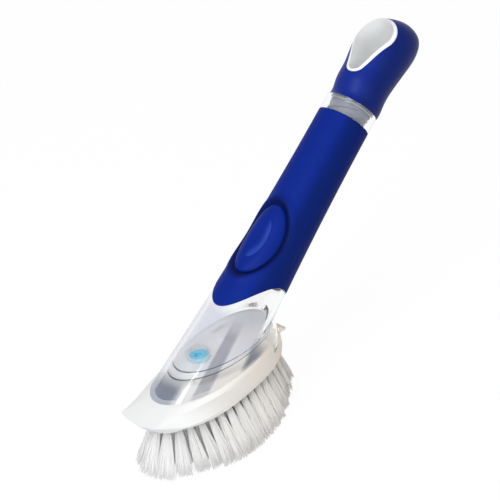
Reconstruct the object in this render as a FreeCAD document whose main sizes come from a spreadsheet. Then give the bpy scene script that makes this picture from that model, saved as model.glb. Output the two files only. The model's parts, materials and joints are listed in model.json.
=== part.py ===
import FreeCAD, Part
import math
import os
import Sketcher

# Dish wand: a clear soap tank as handle, a screw cap with a hang hole, and a brush head that unhooks.
# Lengths are millimetres and angles degrees.
# Head frame: x runs from the nose to the rear, z up from the seat where the foot meets the head.
# Handle frame: z runs along the handle from the seat, x points to the underside, away from the thumb.

Vector = FreeCAD.Vector
doc = FreeCAD.newDocument("dish_wand")

# Driving sizes

SIZES = [
    # handle
    ("handle_pitch", 34.75, "angle between the handle and the seat"),
    ("axis_foot", 52.4, "where the handle's axis meets the seat"),
    ("grip_start", 26, "lowest point of the grip's tongue, along the axis"),
    ("grip_start_radius", 18.5, "grip radius at the tongue"),
    ("waist_place", 103, "thinnest stretch of the grip, along the axis"),
    ("waist_radius", 15.3, "grip radius at the waist"),
    ("neck_place", 146.6, "upper end of the grip, along the axis"),
    ("neck_radius", 14.75, "radius of the grip's upper end, collar and cap"),
    ("grip_skin", 1.2, "thickness of the soft grip"),
    ("flush_step", 0.3, "how far the bare tank lies below the grip's surface"),
    ("tank_wall", 1.7, "wall of the clear tank under the grip"),
    ("collar_length", 9.1, "clear collar between grip and cap"),
    ("wave_top", 50.5, "grip edge at the sides and underside, along the axis"),
    ("wave_side", 3, "how far past the side line the tongue's curve starts"),
    # foot of the tank
    ("foot_centre", 56.05, "middle of the foot on the seat"),
    ("foot_length", 84.5, "foot length on the seat"),
    ("foot_width", 39.4, "foot width on the seat"),
    ("foot_wall", 2.2, "wall of the foot"),
    ("flare_height", 10, "height over which the foot flares"),
    ("flare_inset", 0.4, "how far the flare starts inside the tube"),
    ("heel_front", 82.8, "front of the heel that reaches below the seat"),
    ("heel_drop", 6.4, "how far the heel reaches below the seat"),
    ("floor_top", 8, "top of the tank floor above the seat"),
    ("floor_thick", 2.6, "thickness of the tank floor"),
    ("glue_gap", 0.05, "gap between pieces that are welded or glued"),
    # rail and hooks between foot and head
    ("rail_front", 36, "front end of the rail"),
    ("hook_first", 44, "front end of the first hook"),
    ("hook_pitch", 22, "spacing of the hooks along the rail"),
    ("hook_length", 10, "length of a hook and of the lip that it holds on to"),
    ("stem_width", 12, "width of the rail's stem"),
    ("flange_width", 18, "width of the hooks"),
    ("stem_height", 2.4, "height of the stem over the seat"),
    ("flange_height", 2.2, "thickness of the hooks"),
    ("slide_gap", 0.4, "running gap around the rail"),
    ("guide_wall", 2, "thickness of the guide webs"),
    ("lip_thick", 1.2, "thickness of the guide lips"),
    ("seat_gap", 0.15, "gap between foot and head at the seat"),
    ("deck_gap", 0.3, "gap under the heel"),
    ("stop_gap", 0.4, "gap between the head's step and the heel"),
    # outlet
    ("valve_back", 13.712, "middle of the outlet, behind the front of the hollow at the floor"),
    ("valve_bore", 6.4, "hole in the floor for the valve"),
    ("valve_flange", 9.4, "diameter of the valve's flange"),
    ("valve_flange_thick", 1.2, "thickness of the valve's flange"),
    ("valve_skin", 1, "thickness of the valve's lips"),
    ("valve_clear", 0.1, "gap round the valve"),
    ("retainer_wall", 1.6, "wall of the valve's ring"),
    ("retainer_lip", 1, "how far the ring reaches over the flange"),
    ("port_bore", 5, "soap port through the head"),
    # thumb button
    ("button_place", 67.6, "middle of the button, along the axis"),
    ("pad_length", 41, "length of the oval pad"),
    ("pad_width", 23, "width of the oval pad"),
    ("pad_sink", 0.4, "how far the pad lies below the grip's surface"),
    ("pad_thick", 3.2, "thickness of the pad"),
    ("pad_dish", 0.5, "depth of the dished oval in the pad"),
    ("dish_length", 25, "length of the dished oval"),
    ("dish_width", 11, "width of the dished oval"),
    ("moat_width", 2, "soft ring round the pad"),
    ("moat_depth", 1, "depth of that ring below the grip"),
    ("bellows_skin", 0.9, "thickness of the soft ring"),
    ("bellows_clear", 0.15, "gap at the edges of the soft ring"),
    ("ridge_width", 3, "raised ridge round the button"),
    ("ridge_rise", 0.5, "height of that ridge"),
    # cap
    ("cap_length", 55.5, "cap from the collar to its crown"),
    ("cap_waist", 14.7, "cap radius just above the collar"),
    ("cap_bulge", 16.6, "largest cap radius"),
    ("cap_lean", 5.8, "how far the crown leans to the underside"),
    ("cap_skin_wall", 2, "wall of the cap's shell"),
    ("cap_gap", 0.1, "gap between cap and collar"),
    ("hang_foot", 15.4, "narrow end of the hang hole above the cap's lower edge"),
    ("hang_crown", 6.5, "wide end of the hang hole below the crown"),
    ("hang_low_radius", 4.2, "radius of the narrow end"),
    ("hang_high_radius", 10.8, "radius of the wide end"),
    ("lining_wall", 1.4, "wall of the hang hole's lining"),
    ("lining_proud", 0.25, "how far the lining stands out of the shell"),
    ("spigot_length", 12, "length of the spigot"),
    ("spigot_wall", 1.8, "wall of the spigot"),
    ("thread_depth", 0.7, "height of the thread ribs"),
    ("thread_lead", 20, "rise of the thread in one turn"),
    ("thread_width", 1.6, "width of a thread rib"),
    ("thread_gap", 0.4, "gap round the thread ribs"),
    ("thread_sink", 0.3, "how far the thread ribs are rooted in the spigot"),
    ("thread_low", 0.6, "spigot below the thread ribs"),
    ("thread_high", 3.7, "spigot above the thread ribs"),
    ("flange_thick", 2.4, "flange of the cap's core"),
    ("mouth_room", 0.9, "room above that flange in the cap's mouth"),
    ("seal_thick", 1.7, "thickness of the sealing ring"),
    ("seal_clear", 0.08, "gap round the sealing ring"),
    # head
    ("head_front", -3.3, "front edge of the head"),
    ("nose_half", 12.3, "half width of the nose edge"),
    ("nose_sweep", 2.5, "how far the nose edge curves back"),
    ("head_half", 21.2, "half width of the head"),
    ("shoulder_drop", 2.5, "height of the shoulder below the seat"),
    ("skirt_drop", 11.6, "lower edge of the head's shell below the seat"),
    ("skirt_wall", 2.4, "wall of the head's shell"),
    ("skirt_undercut", 12.4, "how far the nose is cut back at its lower edge"),
    ("skirt_nose", 17, "half width of the nose at the shell's lower edge"),
    ("nose_drop", 8, "lower edge of the nose below the seat"),
    ("skirt_flare", 0.3, "how far the shell widens towards its lower edge"),
    ("rim_margin", 1, "rim of the head round the foot's rear half"),
    ("ledge_margin", 0.6, "ledge round the foot"),
    ("block_top", 8, "top of the tuft block below the seat"),
    ("block_thick", 6, "thickness of the tuft block"),
    ("block_inset", 0.4, "how far the tuft block stands in"),
    ("block_front", 6.6, "front of the tuft block, set back under the nose"),
    ("block_sweep", 9, "how far the block's round front reaches back"),
    ("plug_gap", 0.3, "gap round the block's plug in the head's shell"),
    ("parting_gap", 0.15, "gap between the head's shell and the block's flange"),
    # latch
    ("latch_width", 10, "width of the latch arm"),
    ("latch_thick", 1.2, "thickness of the latch arm"),
    ("latch_back", 1.7, "where the latch arm bends, behind the heel's front"),
    ("latch_seat", 1.5, "length of the arm's root on the tuft block"),
    ("arm_clear", 0.1, "gap between the deck's level and the arm"),
    ("latch_slot", 0.5, "slot round the latch arm"),
    ("catch_rise", 1.5, "how far the catch reaches above the heel's lower edge"),
    ("catch_length", 2.4, "length of the catch"),
    ("catch_gap", 0.4, "gap between heel and catch"),
    ("tab_out", 5.3, "how far the latch tab reaches behind the foot"),
    ("bead_radius", 0.9, "radius of the bead at the tab's end"),
    ("press_room", 4, "depth of the recess under the latch arm"),
    # bristles
    ("tuft_radius", 1.45, "tuft radius at the block"),
    ("tuft_tip_radius", 2.3, "tuft radius at the tips"),
    ("tip_gap", 0.2, "least gap between the tips of the middle row and its neighbours"),
    ("tuft_pitch", 5.6, "spacing of the tufts"),
    ("tuft_edge", 4.4, "first ring of tufts from the block's edge"),
    ("ring_step", 5.4, "spacing of the rings"),
    ("hole_depth", 3.6, "depth of the tuft holes"),
    ("hole_clear", 0.04, "gap round a tuft in its hole"),
    ("trim_depth", 42, "tips below the seat at mid length"),
    ("trim_rise", 7, "how much shorter the tips are at the ends"),
    ("side_lean", 22, "lean of the outer tufts at the sides"),
    ("nose_lean", 33, "lean of the outer tufts at the nose"),
    ("rear_lean", 12, "lean of the outer tufts at the rear"),
    ("anchor_width", 2.4, "width of a wire anchor"),
    ("anchor_thick", 0.5, "thickness of a wire anchor"),
]

sheet = doc.addObject("Spreadsheet::Sheet", "sizes")
for row, (alias, number, note) in enumerate(SIZES, start=1):
    sheet.set(f"A{row}", alias)
    sheet.set(f"B{row}", str(number))
    sheet.set(f"C{row}", note)
    sheet.setAlias(f"B{row}", alias)
doc.recompute()


def size(alias):
    return float(getattr(sheet, alias))


def value(expression):
    return float(sheet.evalExpression(expression))


# Frames

def handle_frame():
    turn = FreeCAD.Rotation(Vector(0, 1, 0), 90 - size("handle_pitch"))
    return FreeCAD.Placement(Vector(size("axis_foot"), 0, 0), turn)


def in_head_frame(shape):
    moved = shape.copy()
    moved.Placement = handle_frame().multiply(moved.Placement)
    return moved


# Document objects

def body_of(label):
    body = doc.addObject("PartDesign::Body", label)
    body.Label = label
    return body


def feature_of(label, shape):
    feature = doc.addObject("Part::Feature", label)
    feature.Label = label
    feature.Shape = shape
    return feature


def plane_of(body, role):
    return next(plane for plane in body.Origin.OriginFeatures if plane.Role == role)


def sketch_in(body, role, name):
    sketch = body.newObject("Sketcher::SketchObject", name)
    sketch.AttachmentSupport = (plane_of(body, role), [""])
    sketch.MapMode = "FlatFace"
    return sketch


def tie(sketch, kind, first, second, expression):
    place = sketch.addConstraint(Sketcher.Constraint(kind, *first, *second, value(expression)))
    sketch.setExpression(f"Constraints[{place}]", expression)


def polygon(sketch, corners):
    """Closed outline whose corners are tied to pairs of expressions."""
    places = [Vector(value(across), value(along), 0) for across, along in corners]
    count = len(places)
    lines = [Part.LineSegment(places[i], places[(i + 1) % count]) for i in range(count)]
    edges = [sketch.addGeometry(line) for line in lines]
    for i in range(count):
        following = edges[(i + 1) % count]
        sketch.addConstraint(Sketcher.Constraint("Coincident", edges[i], 2, following, 1))
    for edge, (across, along) in zip(edges, corners):
        tie(sketch, "DistanceX", (-1, 1), (edge, 1), across)
        tie(sketch, "DistanceY", (-1, 1), (edge, 1), along)


def circle(sketch, across, along, radius):
    middle = Vector(value(across), value(along), 0)
    ring = sketch.addGeometry(Part.Circle(middle, Vector(0, 0, 1), value(radius)))
    tie(sketch, "DistanceX", (-1, 1), (ring, 3), across)
    tie(sketch, "DistanceY", (-1, 1), (ring, 3), along)
    place = sketch.addConstraint(Sketcher.Constraint("Radius", ring, value(radius)))
    sketch.setExpression(f"Constraints[{place}]", radius)


def revolve(body, sketch, name):
    turned = body.newObject("PartDesign::Revolution", name)
    turned.Profile = sketch
    turned.ReferenceAxis = (sketch, ["V_Axis"])
    turned.Angle = 360
    return turned


# Shapes that several sub-parts share

# a length larger than the whole wand, for cuts that run right through
ROOM = 600


def above(level):
    """Everything in the head frame above a level."""
    return Part.makeBox(ROOM, ROOM, ROOM, Vector(-ROOM / 2, -ROOM / 2, level))


# the tube is drawn from well below the seat, which then cuts it
TUBE_LOW = -40


def grip_radius(place):
    """Radius of the grip along the axis: a parabola through its start, waist and neck."""
    named = [("grip_start", "grip_start_radius"), ("waist_place", "waist_radius"),
             ("neck_place", "neck_radius")]
    known = [(size(along), size(radius)) for along, radius in named]
    total = 0.0
    for along, radius in known:
        others = [other for other, _ in known if other != along]
        total += radius * math.prod((place - other) / (along - other) for other in others)
    return total


def tube(grow, low):
    """Solid of the grip's outline, grown by an offset, from a place along the axis to the neck."""
    high = size("neck_place")
    first = grip_radius(low)
    last = grip_radius(high)
    middle = 2 * grip_radius((low + high) / 2) - (first + last) / 2
    low_edge = Vector(first + grow, 0, low)
    high_edge = Vector(last + grow, 0, high)
    profile = Part.BezierCurve()
    profile.setPoles([low_edge, Vector(middle + grow, 0, (low + high) / 2), high_edge])
    edges = [profile.toShape()]
    edges += Part.makePolygon([high_edge, Vector(0, 0, high), Vector(0, 0, low), low_edge]).Edges
    return Part.Face(Part.Wire(edges)).revolve(Vector(0, 0, 0), Vector(0, 0, 1), 360)


def drum(radius, low, high):
    return Part.makeCylinder(radius, high - low, Vector(0, 0, low))


def oval(middle, half_length, half_width, level=0.0):
    """Ellipse wire on a level of the head frame."""
    centre = Vector(middle, 0, level)
    ends = Vector(middle + half_length, 0, level), Vector(middle, half_width, level)
    return Part.Wire(Part.Ellipse(*ends, centre).toShape())


def foot_oval(inset, level=0.0):
    half_length = size("foot_length") / 2 - inset
    return oval(size("foot_centre"), half_length, size("foot_width") / 2 - inset, level)


def tube_section(grow, level):
    """Front, rear and half width of the tube on a level of the head frame."""
    stem = in_head_frame(tube(grow, TUBE_LOW))
    cut = stem.common(Part.makePlane(ROOM, ROOM, Vector(-ROOM / 2, -ROOM / 2, level)))
    box = cut.optimalBoundingBox()
    return box.XMin, box.XMax, box.YMax


def tank_pieces(inset_tube, inset_foot):
    """Tube and flared foot of the tank, as two crossing solids in the head frame."""
    height = size("flare_height")
    grow = -inset_tube
    front, rear, half = tube_section(grow, height)
    inset = size("flare_inset")
    top = oval((front + rear) / 2, (rear - front) / 2 - inset, half - inset, height)
    heel = foot_oval(inset_foot, -size("heel_drop"))
    flare = Part.makeLoft([heel, foot_oval(inset_foot), top], True, True)
    stem = in_head_frame(tube(grow, TUBE_LOW)).common(above(0))
    return [stem, flare]


def valve_place():
    """Middle of the outlet, behind the front of the tank's hollow at the floor."""
    toe = size("foot_centre") - size("foot_length") / 2 + size("foot_wall")
    stem_front, _, _ = tube_section(-size("grip_skin") - size("tank_wall"), size("flare_height"))
    flare_front = stem_front + size("flare_inset")
    hollow_front = toe + (flare_front - toe) * size("floor_top") / size("flare_height")
    return hollow_front + size("valve_back")


def button_prism(length, width):
    """Oval prism through the thumb side, in the handle frame."""
    place = size("button_place")
    centre = Vector(0, 0, place)
    ends = Vector(0, 0, place + length / 2), Vector(0, width / 2, place)
    face = Part.Face(Part.Wire(Part.Ellipse(*ends, centre).toShape()))
    return face.extrude(Vector(-2 * size("grip_start_radius"), 0, 0))


def moat_prism(grow=0.0):
    """Opening for the button and the soft ring round it."""
    extra = 2 * (size("moat_width") + grow)
    return button_prism(size("pad_length") + extra, size("pad_width") + extra)


# Tank

def tank_outside():
    recess = wave_keep(0).cut(tube(-size("grip_skin"), TUBE_LOW))
    stem, foot = tank_pieces(size("flush_step"), 0)
    return stem.cut(in_head_frame(recess)).fuse(foot)


def tank_inside(clear=0.0):
    return tank_pieces(size("grip_skin") + size("tank_wall") + clear, size("foot_wall") + clear)


def fitted_inside(shape):
    """What of a shape lies in the tank's hollow, short of its wall by a glue gap."""
    stem, foot = tank_inside(size("glue_gap"))
    return shape.common(stem).fuse(shape.common(foot))


def neck_bore():
    return size("neck_radius") - size("grip_skin") - size("tank_wall")


def cap_place():
    return size("neck_place") + size("collar_length")


SPIGOT_RADIUS = ("(sizes.neck_radius - sizes.grip_skin - sizes.tank_wall"
                 " - sizes.thread_gap - sizes.thread_depth)")


def spigot_radius():
    return value(SPIGOT_RADIUS)


def seal_pocket():
    return spigot_radius() + size("seal_thick") + 2 * size("seal_clear")


def make_tank_shell():
    collar = drum(size("neck_radius"), size("neck_place"), cap_place())
    outside = tank_outside().fuse(in_head_frame(collar))
    bore = drum(neck_bore(), size("neck_place") - size("spigot_length"), cap_place())
    pocket = drum(seal_pocket(), cap_place() - size("seal_thick") - size("seal_clear"), cap_place())
    hollow = tank_inside() + [in_head_frame(bore), in_head_frame(pocket)]
    drop = size("heel_drop")
    ahead = Part.makeBox(ROOM, ROOM, drop, Vector(size("heel_front") - ROOM, -ROOM / 2, -drop))
    shell = outside.cut(hollow + [in_head_frame(moat_prism()), ahead])
    return feature_of("tank_shell", shell)


# hooks on the rail, one behind the other
HOOKS = 2


def hook_fronts():
    return [size("hook_first") + count * size("hook_pitch") for count in range(HOOKS)]


def bar(front, rear, near, far, low, high):
    """Box along the head between two places, two places across and two levels."""
    return Part.makeBox(rear - front, far - near, high - low, Vector(front, near, low))


def make_foot_plate():
    """Floor of the tank, with two webs below it whose lips carry the head's hooks."""
    top = size("floor_top")
    under = top - size("floor_thick")
    gap = size("slide_gap")
    inner = size("flange_width") / 2 + gap
    outer = inner + size("guide_wall")
    lip_edge = size("stem_width") / 2 + gap
    lip_top = size("stem_height") - gap
    lip_low = lip_top - size("lip_thick")
    length = size("hook_length")
    fronts = hook_fronts()
    plate = fitted_inside(bar(-ROOM / 2, ROOM / 2, -ROOM / 2, ROOM / 2, under, top))
    for side in (-1, 1):
        web = sorted((side * inner, side * outer))
        lip = sorted((side * lip_edge, side * outer))
        plate = plate.fuse(fitted_inside(bar(fronts[0], fronts[-1] + length, *web, lip_low, under)))
        for front in fronts:
            plate = plate.fuse(fitted_inside(bar(front, front + length, *lip, lip_low, lip_top)))
    hole = Part.makeCylinder(size("valve_bore") / 2, ROOM, Vector(valve_place(), 0, -ROOM / 2))
    return feature_of("foot_plate", plate.cut(hole).removeSplitter())


def make_outlet_valve():
    """Slit valve: a flange on the floor and a dome that hangs through it."""
    body = body_of("outlet_valve")
    sketch = sketch_in(body, "XZ_Plane", "valve_profile")
    inner = "sizes.valve_bore / 2 - sizes.valve_clear - sizes.valve_skin"
    outer = "sizes.valve_bore / 2 - sizes.valve_clear"
    low = "sizes.floor_top - sizes.floor_thick"
    top = "sizes.floor_top + sizes.valve_flange_thick"
    polygon(sketch, [
        ("0", low), (outer, low), (outer, "sizes.floor_top"),
        ("sizes.valve_flange / 2", "sizes.floor_top"), ("sizes.valve_flange / 2", top),
        (inner, top), (inner, f"{low} + 2 * sizes.valve_skin"), ("0", f"{low} + sizes.valve_skin"),
    ])
    revolve(body, sketch, "valve_turned")
    body.Placement = FreeCAD.Placement(Vector(valve_place(), 0, 0), FreeCAD.Rotation())
    return body


def make_valve_retainer():
    body = body_of("valve_retainer")
    sketch = sketch_in(body, "XZ_Plane", "retainer_profile")
    inner = "sizes.valve_flange / 2 + sizes.valve_clear"
    outer = f"{inner} + sizes.retainer_wall"
    flange = "sizes.floor_top + sizes.valve_flange_thick"
    top = f"{flange} + sizes.retainer_lip"
    polygon(sketch, [
        (inner, "sizes.floor_top"), (outer, "sizes.floor_top"), (outer, top),
        (f"{inner} - sizes.retainer_lip", top), (f"{inner} - sizes.retainer_lip", flange), (inner, flange),
    ])
    revolve(body, sketch, "retainer_turned")
    body.Placement = FreeCAD.Placement(Vector(valve_place(), 0, 0), FreeCAD.Rotation())
    return body


# Grip and button

def wave_keep(gap):
    """Prism that keeps the grip above its waved lower edge, short of both its ends by a gap."""
    reach = 2 * size("grip_start_radius")
    top = size("wave_top") + gap
    low = size("grip_start") + gap
    tongue = Vector(-size("grip_start_radius"), 0, low)
    side = Vector(size("wave_side"), 0, top)
    knee = Vector((tongue.x + side.x) / 2, 0, top)
    wave = Part.BezierCurve()
    wave.setPoles([tongue, knee, side])
    end = size("neck_place") - gap
    corners = [side, Vector(reach, 0, top), Vector(reach, 0, end), Vector(-reach, 0, end),
               Vector(-reach, 0, low), tongue]
    edges = [wave.toShape()] + Part.makePolygon(corners).Edges
    face = Part.Face(Part.Wire(edges))
    face.translate(Vector(0, -reach, 0))
    return face.extrude(Vector(0, 2 * reach, 0))


def make_grip_sleeve():
    skin = tube(0, TUBE_LOW)
    ring = 2 * (size("moat_width") + size("ridge_width"))
    ridge = button_prism(size("pad_length") + ring, size("pad_width") + ring)
    ridge = ridge.common(tube(size("ridge_rise"), size("grip_start")))
    glue = size("glue_gap")
    sleeve = skin.fuse(ridge).common(wave_keep(glue))
    sleeve = sleeve.cut([tube(glue - size("grip_skin"), TUBE_LOW), moat_prism()])
    return feature_of("grip_sleeve", in_head_frame(sleeve))


def make_button_pad():
    sink = size("pad_sink")
    low = size("grip_start")
    pad = button_prism(size("pad_length"), size("pad_width")).common(tube(-sink, low))
    dish = button_prism(size("dish_length"), size("dish_width")).cut(tube(-sink - size("pad_dish"), low))
    inside = tube(-sink - size("pad_thick"), low)
    return feature_of("button_pad", in_head_frame(pad.cut([dish, inside])))


def make_button_bellows():
    depth = size("moat_depth")
    clear = size("bellows_clear")
    low = size("grip_start")
    pad = button_prism(size("pad_length") + 2 * clear, size("pad_width") + 2 * clear)
    ring = moat_prism(-clear).cut(pad)
    skin = tube(-depth, low).cut(tube(-depth - size("bellows_skin"), low))
    return feature_of("button_bellows", in_head_frame(ring.common(skin)))


# Cap

def cap_solid(inset):
    """Outside of the cap, or its hollow when inset, in the handle frame."""
    length = size("cap_length")
    base = cap_place() + size("cap_gap")
    bulge = size("cap_bulge")
    waist = size("cap_waist")
    lean = size("cap_lean")
    # share of the length, radius, and how far the middle has moved to the underside
    stations = [
        (0.0, size("neck_radius"), 0.0),
        (0.18, waist, 0.0),
        (0.34, 0.85 * waist + 0.15 * bulge, 0.01 * lean),
        (0.54, 0.2 * waist + 0.8 * bulge, 0.04 * lean),
        (0.66, bulge, 0.14 * lean),
        (0.77, 0.965 * bulge, 0.33 * lean),
        (0.87, 0.85 * bulge, 0.55 * lean),
        (0.94, 0.65 * bulge, 0.8 * lean),
        (0.98, 0.42 * bulge, 0.94 * lean),
        (0.995, 0.21 * bulge, lean),
    ]
    rings = []
    for share, radius, shift in stations:
        middle = Vector(shift, 0, base + share * (length - inset))
        rings.append(Part.Wire(Part.makeCircle(radius - inset, middle)))
    return Part.makeLoft(rings, True)


def hang_low():
    """Middle of the hang hole's narrow end, along the axis."""
    return cap_place() + size("cap_gap") + size("hang_foot") + size("hang_low_radius")


def teardrop(grow):
    """Hang hole outline, grown by an offset, as a prism across the cap in the handle frame."""
    low_radius = size("hang_low_radius")
    high_radius = size("hang_high_radius")
    low = hang_low()
    high = cap_place() + size("cap_gap") + size("cap_length") - size("hang_crown") - high_radius
    tilt = math.asin((high_radius - low_radius) / (high - low))
    cosine, sine = math.cos(tilt), math.sin(tilt)

    def rim(centre, radius, across, along):
        grown = radius + grow
        return Vector(0, across * grown, centre + along * grown)

    low_left, low_right = rim(low, low_radius, -cosine, -sine), rim(low, low_radius, cosine, -sine)
    high_left, high_right = rim(high, high_radius, -cosine, -sine), rim(high, high_radius, cosine, -sine)
    edges = [
        Part.Arc(low_left, rim(low, low_radius, 0, -1), low_right).toShape(),
        Part.LineSegment(low_right, high_right).toShape(),
        Part.Arc(high_right, rim(high, high_radius, 0, 1), high_left).toShape(),
        Part.LineSegment(high_left, low_left).toShape(),
    ]
    reach = 2 * size("cap_bulge")
    face = Part.Face(Part.Wire(edges))
    face.translate(Vector(-reach, 0, 0))
    return face.extrude(Vector(2 * reach, 0, 0))


def make_cap_skin():
    glue = size("glue_gap")
    shell = cap_solid(0).cut(cap_solid(size("cap_skin_wall")))
    mouth_top = cap_place() + size("cap_gap") + size("flange_thick") + size("mouth_room")
    mouth = drum(size("cap_waist") - size("cap_skin_wall"), cap_place(), mouth_top)
    return feature_of("cap_skin", in_head_frame(shell.cut([mouth, teardrop(size("lining_wall") + glue)])))


THREAD_STARTS = 4


def thread_ribs():
    """Steep ribs of the quick thread on the spigot, in the handle frame."""
    root = spigot_radius() - size("thread_sink")
    crest = spigot_radius() + size("thread_depth")
    length = size("spigot_length") - size("thread_high")
    low = cap_place() - size("spigot_length") + size("thread_low")
    half = size("thread_width") / 2
    helix = Part.makeHelix(size("thread_lead"), length, spigot_radius())
    corners = [Vector(root, 0, -half), Vector(crest, 0, -half / 2), Vector(crest, 0, half / 2),
               Vector(root, 0, half), Vector(root, 0, -half)]
    profile = Part.makePolygon(corners)
    rib = Part.Wire(helix.Edges).makePipeShell([profile], True, True)
    ribs = []
    for start in range(THREAD_STARTS):
        copy = rib.copy()
        copy.rotate(Vector(0, 0, 0), Vector(0, 0, 1), start * 360 / THREAD_STARTS)
        copy.translate(Vector(0, 0, low + half))
        ribs.append(copy)
    return ribs


def make_cap_core():
    base = cap_place() + size("cap_gap")
    glue = size("glue_gap")
    spigot = drum(spigot_radius(), cap_place() - size("spigot_length"), base)
    flange = drum(size("cap_waist") - size("cap_skin_wall") - glue, base, base + size("flange_thick"))
    post_radius = size("hang_low_radius") + size("lining_wall")
    post = drum(post_radius, base, hang_low())
    bore = drum(spigot_radius() - size("spigot_wall"), cap_place() - size("spigot_length"), base)
    lining = teardrop(size("lining_wall")).common(cap_solid(-size("lining_proud")))
    core = spigot.fuse(flange).cut(bore).fuse(thread_ribs()).fuse(post).fuse(lining).cut(teardrop(0))
    return feature_of("cap_core", in_head_frame(core.removeSplitter()))


def make_cap_seal():
    body = body_of("cap_seal")
    sketch = sketch_in(body, "XZ_Plane", "seal_section")
    middle = f"{SPIGOT_RADIUS} + sizes.seal_clear + sizes.seal_thick / 2"
    level = "sizes.neck_place + sizes.collar_length - sizes.seal_thick / 2"
    circle(sketch, middle, level, "sizes.seal_thick / 2")
    revolve(body, sketch, "seal_turned")
    body.Placement = handle_frame()
    return body


# Head

def outline(front, sweep, nose_half, sides, rear, level):
    """Closed plan outline: nose edge, two sides through given points, and a round rear."""
    corner = Vector(front + sweep, nose_half, level)
    nose = Part.Arc(Vector(corner.x, -corner.y, level), Vector(front, 0, level), corner)
    places = [corner] + [Vector(along, half, level) for along, half in sides]
    left = Part.BSplineCurve()
    left.interpolate(places)
    right = Part.BSplineCurve()
    right.interpolate([Vector(place.x, -place.y, level) for place in reversed(places)])
    last = places[-1]
    heel = Part.Arc(last, Vector(rear, 0, level), Vector(last.x, -last.y, level))
    return Part.Wire([nose.toShape(), left.toShape(), heel.toShape(), right.toShape()])


def rear_end(rim):
    return size("foot_centre") + size("foot_length") / 2 + rim


def rear_sides(rim):
    """Points of the foot's oval, grown by a rim, along its rear half."""
    middle = size("foot_centre")
    long_half = rear_end(rim) - middle
    half = size("foot_width") / 2 + rim
    return [(middle + share * long_half, half * math.sqrt(1 - share ** 2)) for share in REAR_SIDES]


def share_of_length(share):
    front = size("head_front")
    return front + share * (rear_end(size("rim_margin")) - front)


# shares of the head's length, and how much of its full width it has gained there
FRONT_SIDES = ((0.2, 0.42), (0.37, 0.92), (0.53, 1.0))


def front_sides(nose, half):
    """Points from the nose's width to the full width, along the front half."""
    return [(share_of_length(along), nose + wide * (half - nose)) for along, wide in FRONT_SIDES]


def shoulder_outline(inset=0.0):
    nose = size("nose_half") - inset
    rim = size("rim_margin") - inset
    front = size("head_front") + inset
    sides = front_sides(nose, size("head_half") - inset) + rear_sides(rim)
    return outline(front, size("nose_sweep"), nose, sides, rear_end(rim), -size("shoulder_drop"))


def skirt_outline(inset=0.0):
    flare = size("skirt_flare") - inset
    nose = size("skirt_nose") - inset
    rim = size("rim_margin") + flare
    undercut = size("skirt_undercut")
    front = size("head_front") + undercut / 2 + inset
    sides = front_sides(nose, size("head_half") + flare) + rear_sides(rim)
    return outline(front, undercut, nose, sides, rear_end(rim), -size("skirt_drop"))


def block_outline(level, inset):
    """Plan of the tuft block on a level, inside the shell's lower edge by an inset."""
    stand_in = size("skirt_flare") - inset
    back = inset - size("block_inset")
    nose = size("nose_half") - back
    rim = size("rim_margin") + stand_in
    sides = front_sides(nose, size("head_half") + stand_in)[1:] + rear_sides(rim)
    front = size("block_front") + back
    return outline(front, size("block_sweep"), nose, sides, rear_end(rim), level)


def block_flange():
    """Lower part of the tuft block, flush with the head's shell."""
    levels = (block_low(), -size("skirt_drop") - size("parting_gap"))
    return Part.makeLoft([block_outline(level, size("block_inset")) for level in levels], True, True)


def block_plug(gap):
    """Upper part of the tuft block, which fits the head's shell with a gap."""
    inset = size("skirt_flare") + size("skirt_wall") + gap
    levels = ((block_low() - size("skirt_drop")) / 2, -size("block_top"))
    return Part.makeLoft([block_outline(level, inset) for level in levels], True, True)


# places along the foot's oval, as shares of its half length: the toe's edge, then points along its sides
TOE_EDGE = -0.92
TOE_SIDES = (-0.7, -0.35, 0.0, 0.35, 0.75)
REAR_SIDES = (0.3, 0.55, 0.75, 0.9)


def ledge_outline():
    middle = size("foot_centre")
    long_half = size("foot_length") / 2 + size("ledge_margin")
    half = size("foot_width") / 2 + size("ledge_margin")

    def edge(share):
        return middle + share * long_half, half * math.sqrt(1 - share ** 2)

    front = middle - long_half
    toe, toe_half = edge(TOE_EDGE)
    sides = [edge(share) for share in TOE_SIDES]
    return outline(front, toe - front, toe_half, sides, middle + long_half, -size("seat_gap"))


def step_place():
    return size("heel_front") - size("stop_gap")


def deck_level():
    return -size("heel_drop") - size("deck_gap")


LATCH_ROOT = "(sizes.heel_front + sizes.latch_back)"


def through(middle, half, low, front, length):
    """Box of a given half width along the head, from a front end."""
    return Part.makeBox(length, 2 * half, ROOM, Vector(front, middle - half, low))


def make_rail():
    """Rail on top of the head, with wider hooks on it."""
    stem = size("stem_width") / 2
    flange = size("flange_width") / 2
    under = size("stem_height")
    top = under + size("flange_height")
    rail = bar(size("rail_front"), step_place(), -stem, stem, -size("shoulder_drop"), under)
    for front in hook_fronts():
        rear = front + size("hook_length")
        neck = bar(front, rear, -stem, stem, 0, top)
        hook = bar(front, rear, -flange, flange, under, top)
        rail = rail.fuse([neck, hook])
    return rail


def latch_half():
    return size("latch_width") / 2 + size("latch_slot")


# where the lower edge of the nose comes down to that of the sides, as a share of the head's length
NOSE_SLOPE_END = 0.37


def below_nose():
    """Everything below the nose and the slope behind it."""
    far = ROOM / 2
    rear = share_of_length(NOSE_SLOPE_END)
    corners = [(-far, -size("nose_drop")), (size("block_front"), -size("nose_drop")),
               (rear, -size("skirt_drop")), (rear, -far), (-far, -far), (-far, -size("nose_drop"))]
    face = Part.Face(Part.makePolygon([Vector(along, -far, level) for along, level in corners]))
    return face.extrude(Vector(0, ROOM, 0))


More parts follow.
